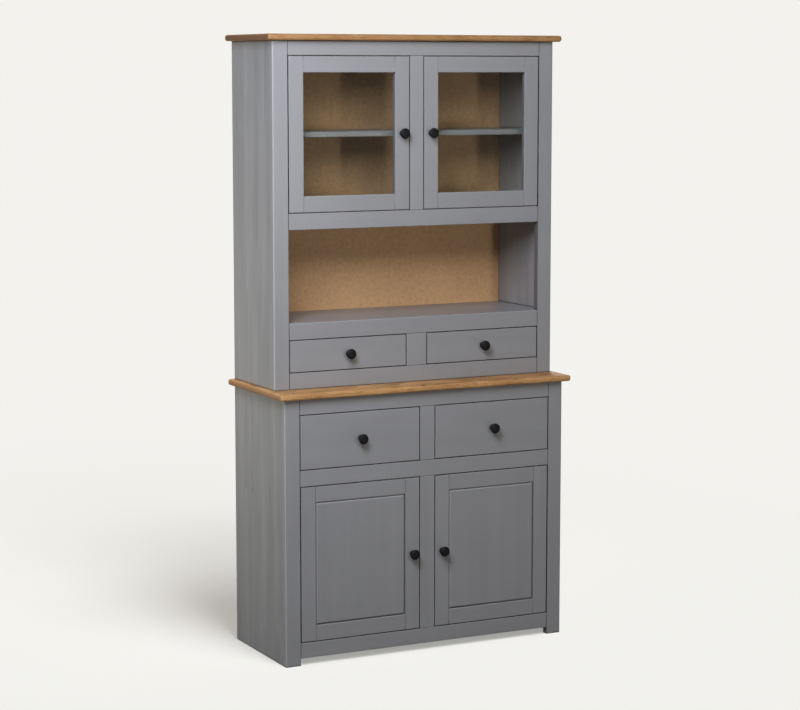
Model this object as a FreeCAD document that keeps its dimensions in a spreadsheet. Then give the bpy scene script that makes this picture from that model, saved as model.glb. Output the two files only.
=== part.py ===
"""Two-piece kitchen dresser: a glazed hutch with an open niche on a buffet base with drawers and doors.

Frame: millimetres, +Z up, the front faces -Y, the origin is on the floor under the middle of the whole piece.
"""
import FreeCAD, Part
import os
import re
import Sketcher

doc = FreeCAD.newDocument("dresser")
sizes = doc.addObject("Spreadsheet::Sheet", "Sizes")

# Driving dimensions, grouped as a joiner's cutting list
DRIVING = {
    # Outer sizes of the two carcasses; both share one width and stand with their backs in line
    "carcass_width": 910, "base_depth": 365, "hutch_depth": 295, "top_overhang": 20,
    # Heights from the floor up; they add up to the whole height
    "leg_gap": 21, "base_bottom_rail": 45, "base_door_opening": 455, "base_mid_rail": 47,
    "base_drawer_opening": 160, "base_top_rail": 45, "countertop_thick": 18,
    "hutch_bottom_rail": 48, "hutch_drawer_opening": 95, "hutch_shelf_rail": 48, "niche_opening": 266,
    "hutch_mid_rail": 47, "hutch_door_opening": 445, "hutch_top_rail": 42, "top_board_thick": 18,
    # Face frame
    "frame_thick": 20, "stile_width": 47, "base_muntin": 48, "door_muntin": 44, "drawer_muntin": 66,
    "stile_round": 4, "edge_ease": 1, "top_round": 7,
    # Carcass boards
    "side_thick": 18, "panel_thick": 15, "drawer_floor_thick": 12, "back_thick": 3, "back_rebate": 9,
    # Shelves and their pins
    "base_shelf_rise": 222, "hutch_shelf_rise": 213, "base_shelf_setback": 60, "hutch_shelf_setback": 50,
    "shelf_end_gap": 1, "shelf_pin_radius": 2.5, "shelf_pin_reach": 9, "shelf_pin_inset": 38,
    "shelf_pin_clear": 0.05, "shelf_lift": 0.1,
    # Doors
    "door_thick": 18, "door_member": 46, "door_gap": 2, "hinge_gap": 2.5, "groove_depth": 8,
    "groove_clear": 0.1, "infill_float": 0.5, "glass_thick": 4, "tongue_thick": 6,
    "field_rise": 5, "field_bevel": 4.5, "field_gap": 1.5,
    # Pivot pins of the doors
    "pivot_radius": 3, "pivot_clear": 0.05, "pivot_depth": 12, "pivot_end_gap": 0.5, "pivot_seat_clear": 0.02,
    "pivot_from_edge": 9, "pivot_from_face": 6, "collar_radius": 5, "collar_clear": 0.3,
    # Drawers
    "drawer_gap": 2, "front_thick": 18, "box_thick": 12, "box_side_clear": 1, "box_run_clear": 0.3,
    "base_box_height": 122, "hutch_box_height": 66, "base_box_length": 300, "hutch_box_length": 230,
    "bottom_thick": 3, "bottom_rise": 8, "bottom_groove": 5, "bottom_clear": 0.1, "guide_height": 30,
    # Turned knobs
    "knob_length": 25, "knob_head_radius": 15, "knob_foot_radius": 9, "knob_foot_thick": 2,
    "knob_neck_radius": 7.5, "knob_neck_at": 7, "knob_rim_at": 17, "knob_dome_at": 21,
    "knob_crown_radius": 9.5, "knob_crown_at": 24.2,
    # Magnetic catches
    "catch_drop": 60, "catch_tall": 14, "catch_deep": 12, "catch_reach": 16, "catch_clear": 0.3,
}

for row, (alias, value) in enumerate(DRIVING.items(), start=1):
    sizes.set(f"A{row}", alias)
    sizes.set(f"B{row}", str(value))
    sizes.setAlias(f"B{row}", alias)
doc.recompute()


def full(text):
    """Write each driving dimension in an expression with the name of its sheet."""
    return re.sub(r"[a-z]\w*", lambda word: f"Sizes.{word[0]}" if word[0] in DRIVING else word[0], text)


def bind(thing, prop, text):
    thing.setExpression(prop, full(text))


def measure(text):
    """Give the number that an expression stands for at present."""
    return float(sizes.evalExpression(full(text)))


def size(alias):
    return float(sizes.get(alias))


# Levels, widths and depths that several pieces share

STACK = ["leg_gap", "base_bottom_rail", "base_door_opening", "base_mid_rail", "base_drawer_opening",
         "base_top_rail", "countertop_thick", "hutch_bottom_rail", "hutch_drawer_opening",
         "hutch_shelf_rail", "niche_opening", "hutch_mid_rail", "hutch_door_opening", "hutch_top_rail",
         "top_board_thick"]


def foot(level):
    """Height of the lower edge of one item of the stack."""
    below = STACK[:STACK.index(level)]
    return "(" + (" + ".join(below) or "0") + ")"


def head(level):
    return f"({foot(level)} + {level})"


def span(level):
    return foot(level), head(level)


def mirrored(pair):
    low, high = pair
    return f"-({high})", f"-({low})"


def inset(pair, low_gap, high_gap):
    low, high = pair
    return f"({low}) + ({low_gap})", f"({high}) - ({high_gap})"


BASE_FACE = "((max(knob_length; top_overhang) - base_depth) / 2)"
BACK = f"({BASE_FACE} + base_depth)"
HUTCH_FACE = f"({BACK} - hutch_depth)"
BACK_FRONT = f"({BACK} - back_thick)"
HALF = "(carcass_width / 2)"
OPENING_EDGE = f"({HALF} - stile_width)"
SIDE_INNER = f"({HALF} - side_thick)"
BETWEEN_SIDES = (f"-{SIDE_INNER}", SIDE_INNER)
LEFT_STILE = (f"-{HALF}", f"-{OPENING_EDGE}")
LEFT_SIDE = (f"-{HALF}", f"-{SIDE_INNER}")
BETWEEN_STILES = (f"-{OPENING_EDGE}", OPENING_EDGE)


def left_opening(muntin):
    return f"-{OPENING_EDGE}", f"-({muntin} / 2)"


# Shapes that the pieces are made from

def block(name, x, y, z):
    """A plain block between two expressions on each axis."""
    box = doc.addObject("Part::Box", name)
    for prop, axis, (low, high) in zip(("Length", "Width", "Height"), "xyz", (x, y, z)):
        bind(box, prop, f"({high}) - ({low})")
        bind(box, f"Placement.Base.{axis}", low)
    return box


def rod(name, x, y, low, high, radius):
    """An upright round rod."""
    round_rod = doc.addObject("Part::Cylinder", name)
    bind(round_rod, "Radius", radius)
    bind(round_rod, "Height", f"({high}) - ({low})")
    for axis, place in zip("xyz", (x, y, low)):
        bind(round_rod, f"Placement.Base.{axis}", place)
    return round_rod


def side_rod(name, low, high, y, z, radius):
    """A round rod that lies along X."""
    round_rod = doc.addObject("Part::Cylinder", name)
    round_rod.Placement.Rotation = FreeCAD.Rotation(FreeCAD.Vector(0, 1, 0), 90)
    bind(round_rod, "Radius", radius)
    bind(round_rod, "Height", f"({high}) - ({low})")
    for axis, place in zip("xyz", (low, y, z)):
        bind(round_rod, f"Placement.Base.{axis}", place)
    return round_rod


def eased(name, blank):
    """Break every sharp edge of a board."""
    doc.recompute()
    board = doc.addObject("Part::Chamfer", name)
    board.Base = blank
    ease = size("edge_ease")
    board.Edges = [(number, ease, ease) for number in range(1, len(blank.Shape.Edges) + 1)]
    return board


def board(name, x, y, z):
    return eased(name, block(name + "_blank", x, y, z))


def rounded(name, blank, radius_of_edge):
    """Round the edges of a board to the radius that a rule gives for each edge, or leave them at 0."""
    doc.recompute()
    radii = [(number, radius_of_edge(edge)) for number, edge in enumerate(blank.Shape.Edges, start=1)]
    piece = doc.addObject("Part::Fillet", name)
    piece.Base = blank
    piece.Edges = [(number, radius, radius) for number, radius in radii if radius]
    return piece


def cut(name, base, tools):
    """Take several tools out of a piece, one after another."""
    for number, tool in enumerate(tools, start=1):
        result = doc.addObject("Part::Cut", name if number == len(tools) else f"{name}_step{number}")
        result.Base = base
        result.Tool = tool
        base = result
    return base


def joined(name, base, tool):
    result = doc.addObject("Part::Fuse", name)
    result.Base = base
    result.Tool = tool
    return result


def group(name, pieces):
    result = doc.addObject("Part::Compound", name)
    result.Links = pieces
    return result


NODES = {}


def node(name, piece):
    """Keep a finished sub-part under the name of its file."""
    piece.Label = name
    NODES[name] = piece


# Carcass sides, with a rebate for the back and holes for the shelf pins

def pin_height(floor_level, rise):
    return f"({head(floor_level)} + {rise} - shelf_lift - shelf_pin_radius)"


def pin_depths(face, setback):
    return [f"({face} + {setback} + shelf_pin_inset)", f"({BACK_FRONT} - shelf_end_gap - shelf_pin_inset)"]


def carcass_side(name, x, face, z, pins_z, setback):
    """One upright side; x is the left or the right pair of faces."""
    left = x is LEFT_SIDE
    panel = board(name + "_board", x, (f"{face} + frame_thick", BACK), z)
    inner = f"(-{SIDE_INNER})" if left else SIDE_INNER
    rebate_x = (f"{inner} - back_rebate", f"{inner} + edge_ease")
    hole_x = (f"{inner} - shelf_pin_reach", f"{inner} + edge_ease")
    if not left:
        rebate_x = (f"{inner} - edge_ease", f"{inner} + back_rebate")
        hole_x = (f"{inner} - edge_ease", f"{inner} + shelf_pin_reach")
    tools = [block(name + "_rebate", rebate_x, (BACK_FRONT, f"{BACK} + edge_ease"),
                   (f"{z[0]} - edge_ease", f"{z[1]} + edge_ease"))]
    for number, y in enumerate(pin_depths(face, setback), start=1):
        radius = "shelf_pin_radius + shelf_pin_clear"
        tools.append(side_rod(f"{name}_hole{number}", *hole_x, y, pins_z, radius))
    node(name, cut(name, panel, tools))


BASE_PIN_Z = pin_height("base_bottom_rail", "base_shelf_rise")
HUTCH_PIN_Z = pin_height("hutch_mid_rail", "hutch_shelf_rise")
BASE_SIDE_Z = ("0", head("base_top_rail"))
HUTCH_SIDE_Z = (head("countertop_thick"), head("hutch_top_rail"))
for side_name, side_x in (("left", LEFT_SIDE), ("right", mirrored(LEFT_SIDE))):
    carcass_side(f"base_side_{side_name}", side_x, BASE_FACE, BASE_SIDE_Z, BASE_PIN_Z, "base_shelf_setback")
    carcass_side(f"hutch_side_{side_name}", side_x, HUTCH_FACE, HUTCH_SIDE_Z, HUTCH_PIN_Z,
                 "hutch_shelf_setback")


# Face frames: stiles with a rounded outer corner, rails between them, muntins between the rails

def frame_y(face):
    return face, f"{face} + frame_thick"


def stile(name, x, face, z):
    """An upright of the face frame; its outer front corner is rounded and its inner one eased."""
    blank = block(name + "_blank", x, frame_y(face), z)
    front = measure(face)

    def corner_radius(edge):
        ends = [vertex.Point for vertex in edge.Vertexes]
        upright = abs(ends[0].z - ends[1].z) > size("stile_width")
        if not upright or abs(ends[0].y - front) > size("edge_ease") / 2:
            return 0
        outer = abs(abs(ends[0].x) - measure(HALF)) < size("edge_ease") / 2
        return size("stile_round") if outer else size("edge_ease")

    node(name, rounded(name, blank, corner_radius))


for side_name, stile_x in (("left", LEFT_STILE), ("right", mirrored(LEFT_STILE))):
    stile(f"base_stile_{side_name}", stile_x, BASE_FACE, BASE_SIDE_Z)
    stile(f"hutch_stile_{side_name}", stile_x, HUTCH_FACE, HUTCH_SIDE_Z)

PIVOT_INSET = "(hinge_gap + pivot_from_edge)"
PIVOT_X = [f"(-{OPENING_EDGE} + {PIVOT_INSET})", f"({OPENING_EDGE} - {PIVOT_INSET})"]


def pivot_y(face):
    return f"({face} + pivot_from_face)"


def rail(level, face, pins_from=None):
    """A rail between the stiles; pins_from is the edge, foot or head, that holds the doors' pivot pins."""
    plain = board(level if pins_from is None else level + "_board", BETWEEN_STILES, frame_y(face), span(level))
    if pins_from is None:
        node(level, plain)
        return
    edge = pins_from(level)
    hole = (f"{edge} - pivot_depth", f"{edge} + edge_ease")
    if pins_from is foot:
        hole = (f"{edge} - edge_ease", f"{edge} + pivot_depth")
    tools = [rod(f"{level}_hole{number}", x, pivot_y(face), *hole, "pivot_radius + pivot_seat_clear")
             for number, x in enumerate(PIVOT_X, start=1)]
    node(level, cut(level, plain, tools))


rail("base_bottom_rail", BASE_FACE, head)
rail("base_mid_rail", BASE_FACE, foot)
rail("base_top_rail", BASE_FACE)
rail("hutch_bottom_rail", HUTCH_FACE)
rail("hutch_shelf_rail", HUTCH_FACE)
rail("hutch_mid_rail", HUTCH_FACE, head)
rail("hutch_top_rail", HUTCH_FACE, foot)


def muntin(name, width, face, level):
    return board(name, (f"-{width} / 2", f"{width} / 2"), frame_y(face), span(level))


node("base_muntins", group("base_muntins", [
    muntin("base_muntin_doors", "base_muntin", BASE_FACE, "base_door_opening"),
    muntin("base_muntin_drawers", "base_muntin", BASE_FACE, "base_drawer_opening")]))
node("hutch_muntins", group("hutch_muntins", [
    muntin("hutch_muntin_doors", "door_muntin", HUTCH_FACE, "hutch_door_opening"),
    muntin("hutch_muntin_drawers", "drawer_muntin", HUTCH_FACE, "hutch_drawer_opening")]))


# Floors, shelves and backs between the sides

def floor(name, face, level, thick):
    """A floor whose top lies level with the top of a rail."""
    node(name, board(name, BETWEEN_SIDES, (f"{face} + frame_thick", BACK_FRONT),
                     (f"{head(level)} - {thick}", head(level))))


floor("base_floor", BASE_FACE, "base_bottom_rail", "panel_thick")
floor("base_drawer_floor", BASE_FACE, "base_mid_rail", "drawer_floor_thick")
floor("hutch_drawer_floor", HUTCH_FACE, "hutch_bottom_rail", "drawer_floor_thick")
floor("hutch_niche_floor", HUTCH_FACE, "hutch_shelf_rail", "panel_thick")
floor("hutch_cupboard_floor", HUTCH_FACE, "hutch_mid_rail", "panel_thick")


def shelf(name, face, setback, floor_level, rise):
    lower = f"({head(floor_level)} + {rise})"
    node(name, board(name, inset(BETWEEN_SIDES, "shelf_end_gap", "shelf_end_gap"),
                     (f"{face} + {setback}", f"{BACK_FRONT} - shelf_end_gap"),
                     (lower, f"{lower} + panel_thick")))


shelf("base_shelf", BASE_FACE, "base_shelf_setback", "base_bottom_rail", "base_shelf_rise")
shelf("hutch_shelf", HUTCH_FACE, "hutch_shelf_setback", "hutch_mid_rail", "hutch_shelf_rise")


def shelf_pins(face, setback, z, title):
    """Four round pins, half in the sides and half under the shelf."""
    pins = []
    for number, y in enumerate(pin_depths(face, setback), start=1):
        reach = (f"-{SIDE_INNER} - shelf_pin_reach", f"-{SIDE_INNER} + shelf_pin_reach")
        for side_name, x in (("left", reach), ("right", mirrored(reach))):
            pins.append(side_rod(f"{title}_pin_{side_name}{number}", *x, y, z, "shelf_pin_radius"))
    return pins


node("shelf_pins", group("shelf_pins", shelf_pins(BASE_FACE, "base_shelf_setback", BASE_PIN_Z, "base")
                         + shelf_pins(HUTCH_FACE, "hutch_shelf_setback", HUTCH_PIN_Z, "hutch")))

BACK_X = inset((f"-{SIDE_INNER} - back_rebate", f"{SIDE_INNER} + back_rebate"), "groove_clear", "groove_clear")
node("base_back", block("base_back", BACK_X, (BACK_FRONT, BACK), (foot("base_bottom_rail"),
                                                                  head("base_top_rail"))))
node("hutch_back", block("hutch_back", BACK_X, (BACK_FRONT, BACK), HUTCH_SIDE_Z))


# Waxed boards on top of each carcass, with a soft nosing on the front and the two ends

LARGEST_NOSING = 0.45


def nosed_board(name, face, level):
    half_width = f"({HALF} + top_overhang)"
    blank = block(name + "_blank", (f"-{half_width}", half_width), (f"{face} - top_overhang", BACK), span(level))
    rear = measure(BACK)

    def nosing(edge):
        at_back = all(abs(vertex.Y - rear) < size("edge_ease") / 2 for vertex in edge.Vertexes)
        return 0 if at_back else min(size("top_round"), size(level) * LARGEST_NOSING)

    node(name, rounded(name, blank, nosing))


nosed_board("countertop", BASE_FACE, "countertop_thick")
nosed_board("hutch_top_board", HUTCH_FACE, "top_board_thick")


# Drawer guides: strips on the drawer floors, behind the stiles and the muntin

def guides(title, face, level, muntin_width):
    y = (f"{face} + frame_thick", BACK_FRONT)
    z = (head(level), f"{head(level)} + guide_height")
    outer = (f"-{SIDE_INNER}", f"-{OPENING_EDGE}")
    middle = (f"-{muntin_width} / 2", f"{muntin_width} / 2")
    places = {"left": outer, "right": mirrored(outer), "middle": middle}
    return [block(f"{title}_guide_{place}", x, y, z) for place, x in places.items()]


node("drawer_guides", group("drawer_guides", guides("base", BASE_FACE, "base_mid_rail", "base_muntin")
                            + guides("hutch", HUTCH_FACE, "hutch_bottom_rail", "drawer_muntin")))


# Pivot pins of the doors, each with a thin collar in the gap that keeps the door off its rail

def pivot_pin(name, x, face, edge, up):
    """A pin at one edge of a rail; up says that it stands out of the rail upwards."""
    y = pivot_y(face)
    tip = "pivot_depth + door_gap"
    collar = "door_gap - collar_clear"
    if up:
        shank = (f"{edge} - pivot_depth", f"{edge} + {tip}")
        ring = (edge, f"{edge} + {collar}")
    else:
        shank = (f"{edge} - ({tip})", f"{edge} + pivot_depth")
        ring = (f"{edge} - ({collar})", edge)
    return joined(name, rod(name + "_shank", x, y, *shank, "pivot_radius"),
                  rod(name + "_collar", x, y, *ring, "collar_radius"))


pivots = []
for title, pivot_face, below, above in (("base", BASE_FACE, "base_bottom_rail", "base_mid_rail"),
                                        ("hutch", HUTCH_FACE, "hutch_mid_rail", "hutch_top_rail")):
    for side_name, pivot_place in zip(("left", "right"), PIVOT_X):
        pivots.append(pivot_pin(f"{title}_pivot_{side_name}_lower", pivot_place, pivot_face, head(below), True))
        pivots.append(pivot_pin(f"{title}_pivot_{side_name}_upper", pivot_place, pivot_face, foot(above), False))
node("pivot_pins", group("pivot_pins", pivots))


# Sketched profiles

def profile(body, role, corners):
    """A closed outline of straight lines whose corners are bound to the sheet."""
    sketch = body.newObject("Sketcher::SketchObject", body.Name + "_sketch")
    sketch.AttachmentSupport = [(next(f for f in body.Origin.OriginFeatures if f.Role == role), "")]
    sketch.MapMode = "FlatFace"
    points = [FreeCAD.Vector(measure(x), measure(y), 0) for x, y in corners]
    for number, start in enumerate(points):
        sketch.addGeometry(Part.LineSegment(start, points[(number + 1) % len(points)]), False)
    for number in range(len(points)):
        sketch.addConstraint(Sketcher.Constraint("Coincident", number, 2, (number + 1) % len(points), 1))
    for number, (x, y) in enumerate(corners):
        pin_point(sketch, number, x, y)
    return sketch


def pin_point(sketch, line, x, y):
    """Hold the start of a line at the distances from the sketch's origin that two expressions give."""
    for kind, axis, text in (("DistanceX", -2, x), ("DistanceY", -1, y)):
        if text == "0":
            sketch.addConstraint(Sketcher.Constraint("PointOnObject", line, 1, axis))
            continue
        number = sketch.addConstraint(Sketcher.Constraint(kind, -1, 1, line, 1, measure(text)))
        bind(sketch, f"Constraints[{number}]", text)


def place(body, x, y, z):
    for axis, text in zip("xyz", (x, y, z)):
        bind(body, f"Placement.Base.{axis}", text)


# Turned knob: a small foot, a waisted neck that flares to the head, and a domed face

def knob(name, x, face, z):
    body = doc.addObject("PartDesign::Body", name)
    sketch = profile(body, "XY_Plane", [
        ("0", "0"), ("knob_foot_radius", "0"), ("knob_foot_radius", "knob_foot_thick"),
        ("knob_neck_radius", "knob_neck_at"), ("knob_head_radius", "knob_rim_at"),
        ("knob_head_radius", "knob_dome_at"), ("knob_crown_radius", "knob_crown_at"), ("0", "knob_length")])
    turned = body.newObject("PartDesign::Revolution", name + "_turned")
    turned.Profile = sketch
    turned.ReferenceAxis = (sketch, ["V_Axis"])
    turned.Angle = 360
    body.Tip = turned
    body.Placement.Rotation = FreeCAD.Rotation(FreeCAD.Vector(0, 0, 1), 180)
    place(body, x, face, z)
    node(name, body)


# Doors: grooved stiles, rails with tongues, and a pane or a raised panel that floats in the grooves

def middle_of_door(face):
    return f"({face} + door_thick / 2)"


def door_member(name, x, y, z, tools):
    return cut(name, board(name + "_board", x, y, z), tools)


def door(name, face, level, x, hinge_on_left, infill):
    """A door in an opening; infill is the thickness that its grooves hold."""
    gaps = ("hinge_gap", "door_gap") if hinge_on_left else ("door_gap", "hinge_gap")
    left, right = inset(x, *gaps)
    low, high = inset(span(level), "door_gap", "door_gap")
    y = (face, f"{face} + door_thick")
    half_groove = f"({infill} / 2 + groove_clear)"
    groove_y = (f"{middle_of_door(face)} - {half_groove}", f"{middle_of_door(face)} + {half_groove}")
    tongue_y = inset(groove_y, "groove_clear", "groove_clear")
    inner = (f"{left} + door_member", f"{right} - door_member")
    window = (f"{low} + door_member", f"{high} - door_member")

    hinge_edge = f"({left} + pivot_from_edge)" if hinge_on_left else f"({right} - pivot_from_edge)"
    deep = "pivot_depth + pivot_end_gap"
    hole = "pivot_radius + pivot_clear"
    pins = [rod(name + "_lower_hole", hinge_edge, pivot_y(face), f"{low} - edge_ease", f"{low} + {deep}", hole),
            rod(name + "_upper_hole", hinge_edge, pivot_y(face), f"{high} - ({deep})", f"{high} + edge_ease",
                hole)]

    through = (f"{low} - edge_ease", f"{high} + edge_ease")
    left_groove = block(name + "_groove_left", (f"{inner[0]} - groove_depth", f"{inner[0]} + edge_ease"),
                        groove_y, through)
    right_groove = block(name + "_groove_right", (f"{inner[1]} - edge_ease", f"{inner[1]} + groove_depth"),
                         groove_y, through)
    left_tools = [left_groove] + (pins if hinge_on_left else [])
    right_tools = [right_groove] + ([] if hinge_on_left else pins)
    members = [door_member(name + "_stile_left", (left, inner[0]), y, (low, high), left_tools),
               door_member(name + "_stile_right", (inner[1], right), y, (low, high), right_tools)]

    reach = "groove_depth - groove_clear"
    along = (f"{inner[0]} - edge_ease", f"{inner[1]} + edge_ease")
    rails = {"lower": ((low, window[0]), (f"{window[0]} - groove_depth", f"{window[0]} + edge_ease")),
             "upper": ((window[1], high), (f"{window[1]} - edge_ease", f"{window[1]} + groove_depth"))}
    for rail_name, (rail_z, groove_z) in rails.items():
        title = f"{name}_rail_{rail_name}"
        tongue = block(title + "_tongue", (f"{inner[0]} - ({reach})", f"{inner[1]} + ({reach})"), tongue_y, rail_z)
        groove = block(title + "_groove", (f"{along[0]} - ({reach})", f"{along[1]} + ({reach})"),
                       groove_y, groove_z)
        whole = joined(title + "_whole", board(title + "_board", inner, y, rail_z), tongue)
        members.append(cut(title, whole, [groove]))
    node(name + "_frame", group(name + "_frame", members))

    float_in = "groove_depth - infill_float"
    infill_x = (f"{inner[0]} - ({float_in})", f"{inner[1]} + ({float_in})")
    infill_z = (f"{window[0]} - ({float_in})", f"{window[1]} + ({float_in})")
    sheet = (infill_x, tongue_y, infill_z)
    field = (inset(inner, "field_gap", "field_gap"), inset(window, "field_gap", "field_gap"))
    lock_x = f"({right} - door_member / 2)" if hinge_on_left else f"({left} + door_member / 2)"
    knob(name + "_knob", lock_x, face, f"(({low}) + ({high})) / 2")
    return sheet, field


def raised_panel(name, sheet, field):
    """A panel whose thin edge sits in the grooves and whose field rises to a bevel round its face."""
    tongue = block(name + "_tongue", *sheet)
    field_x, field_z = field
    body = doc.addObject("PartDesign::Body", name + "_field")
    wide = f"({field_x[1]}) - ({field_x[0]})"
    tall = f"({field_z[1]}) - ({field_z[0]})"
    sketch = profile(body, "XZ_Plane", [("0", "0"), (wide, "0"), (wide, tall), ("0", tall)])
    pad = body.newObject("PartDesign::Pad", name + "_pad")
    pad.Profile = sketch
    bind(pad, "Length", "field_rise")
    doc.recompute()
    foremost = pad.Shape.BoundBox.YMin
    face_edges = [f"Edge{number}" for number, edge in enumerate(pad.Shape.Edges, start=1)
                  if edge.BoundBox.YMax < foremost + size("edge_ease") / 2]
    bevel = body.newObject("PartDesign::Chamfer", name + "_bevel")
    bevel.Base = (pad, face_edges)
    bevel.ChamferType = "Two distances"
    bind(bevel, "Size", "field_bevel")
    bind(bevel, "Size2", "field_rise - edge_ease")
    body.Tip = bevel
    place(body, field_x[0], sheet[1][0], field_z[0])
    node(name, joined(name, tongue, body))


for side_name, on_left in (("left", True), ("right", False)):
    base_opening = left_opening("base_muntin")
    hutch_opening = left_opening("door_muntin")
    if not on_left:
        base_opening = mirrored(base_opening)
        hutch_opening = mirrored(hutch_opening)
    title = f"base_door_{side_name}"
    raised_panel(title + "_panel", *door(title, BASE_FACE, "base_door_opening", base_opening, on_left,
                                         "tongue_thick"))
    title = f"hutch_door_{side_name}"
    pane = door(title, HUTCH_FACE, "hutch_door_opening", hutch_opening, on_left, "glass_thick")[0]
    node(title + "_glass", block(title + "_glass", *pane))


# Drawers: front, box of two sides and a back, and a thin bottom held in grooves

def drawer(name, face, level, floor_level, x, box_height, box_length):
    front_x = inset(x, "drawer_gap", "drawer_gap")
    front_z = inset(span(level), "drawer_gap", "drawer_gap")
    front_back = f"({face} + front_thick)"
    box_x = inset(x, "box_side_clear", "box_side_clear")
    box_y = (front_back, f"{front_back} + {box_length}")
    rest = f"({head(floor_level)} + box_run_clear)"
    box_z = (rest, f"{rest} + {box_height}")
    inside_x = inset(box_x, "box_thick", "box_thick")
    bottom_z = (f"{rest} + bottom_rise", f"{rest} + bottom_rise + bottom_thick")
    groove_z = (f"{bottom_z[0]} - bottom_clear", f"{bottom_z[1]} + bottom_clear")
    bottom_x = (f"{inside_x[0]} - bottom_groove", f"{inside_x[1]} + bottom_groove")
    groove_x = (f"{bottom_x[0]} - bottom_clear", f"{bottom_x[1]} + bottom_clear")

    front_groove = block(name + "_front_groove", groove_x,
                         (f"{front_back} - bottom_groove - bottom_clear", f"{front_back} + edge_ease"), groove_z)
    front = board(name + "_front_board", front_x, (face, front_back), front_z)
    node(name + "_front", cut(name + "_front", front, [front_groove]))

    sides = []
    for side_name, side_x in (("left", (box_x[0], inside_x[0])), ("right", (inside_x[1], box_x[1]))):
        title = f"{name}_box_{side_name}"
        side_groove = block(title + "_groove", groove_x, (f"{box_y[0]} - edge_ease", f"{box_y[1]} + edge_ease"),
                            groove_z)
        sides.append(cut(title, board(title + "_board", side_x, box_y, box_z), [side_groove]))
    back = board(name + "_box_back", inside_x, (f"{box_y[1]} - box_thick", box_y[1]), (bottom_z[1], box_z[1]))
    node(name + "_box", group(name + "_box", sides + [back]))
    node(name + "_bottom", block(name + "_bottom", bottom_x, (f"{front_back} - bottom_groove", box_y[1]), bottom_z))
    knob(name + "_knob", f"(({front_x[0]}) + ({front_x[1]})) / 2", face, f"(({front_z[0]}) + ({front_z[1]})) / 2")


for side_name in ("left", "right"):
    base_opening = left_opening("base_muntin")
    hutch_opening = left_opening("drawer_muntin")
    if side_name == "right":
        base_opening = mirrored(base_opening)
        hutch_opening = mirrored(hutch_opening)
    drawer(f"base_drawer_{side_name}", BASE_FACE, "base_drawer_opening", "base_mid_rail", base_opening,
           "base_box_height", "base_box_length")
    drawer(f"hutch_drawer_{side_name}", HUTCH_FACE, "hutch_drawer_opening", "hutch_bottom_rail", hutch_opening,
           "hutch_box_height", "hutch_box_length")


# Double magnetic catches on the backs of the door muntins, with two pads that reach behind the doors

def catch(name, face, level, muntin_width):
    half = f"({muntin_width} / 2)"
    wide = f"({half} + catch_reach)"
    step = "(frame_thick - door_thick - catch_clear)"
    body = doc.addObject("PartDesign::Body", name)
    pad_edge = f"({half} + door_gap / 2)"
    sketch = profile(body, "XY_Plane", [
        ("0", "0"), (f"{wide} - {pad_edge}", "0"), (f"{wide} - {pad_edge}", step),
        (f"{wide} + {pad_edge}", step), (f"{wide} + {pad_edge}", "0"), (f"{wide} * 2", "0"),
        (f"{wide} * 2", f"catch_deep + {step}"), ("0", f"catch_deep + {step}")])
    pad = body.newObject("PartDesign::Pad", name + "_pad")
    pad.Profile = sketch
    bind(pad, "Length", "catch_tall")
    body.Tip = pad
    place(body, f"-{wide}", f"{face} + door_thick + catch_clear", f"{head(level)} - catch_drop - catch_tall")
    return body


node("door_catches", group("door_catches", [
    catch("base_catch", BASE_FACE, "base_door_opening", "base_muntin"),
    catch("hutch_catch", HUTCH_FACE, "hutch_door_opening", "door_muntin")]))

# Nothing is written unless every object and every sub-part came out sound

doc.recompute()
faults = [thing.Name for thing in doc.Objects if {"Invalid", "Error"} & set(thing.State)]
if faults:
    raise RuntimeError(f"objects that failed: {faults}")
for title, piece in NODES.items():
    if piece.Shape.isNull() or not piece.Shape.isValid() or not piece.Shape.Solids:
        raise RuntimeError(f"no sound solid in {title}")

os.makedirs("parts", exist_ok=True)
for title, piece in NODES.items():
    piece.Shape.exportStep(f"parts/{title}.step")
whole = Part.makeCompound([piece.Shape for piece in NODES.values()])
box = whole.BoundBox
print(f"{len(NODES)} sub-parts, {len(whole.Solids)} solids, {whole.Volume / 1e6:.2f} litres")
print(f"x {box.XMin:.2f} {box.XMax:.2f}  y {box.YMin:.2f} {box.YMax:.2f}  z {box.ZMin:.2f} {box.ZMax:.2f}")
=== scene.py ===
# %% [markdown]
# # A two-piece kitchen dresser
# A glazed hutch stands on a buffet base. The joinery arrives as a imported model, already in place and at its
# real size, so this lesson only dresses it: painted pine, waxed tops, raw hardboard backs, glass, turned black
# knobs and the small steel fixings. Everything is in metres, +Z is up and the front faces -Y.

# %% Load the frame
import math
import re

import bmesh
import bpy
from mathutils import Matrix, Vector


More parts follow.
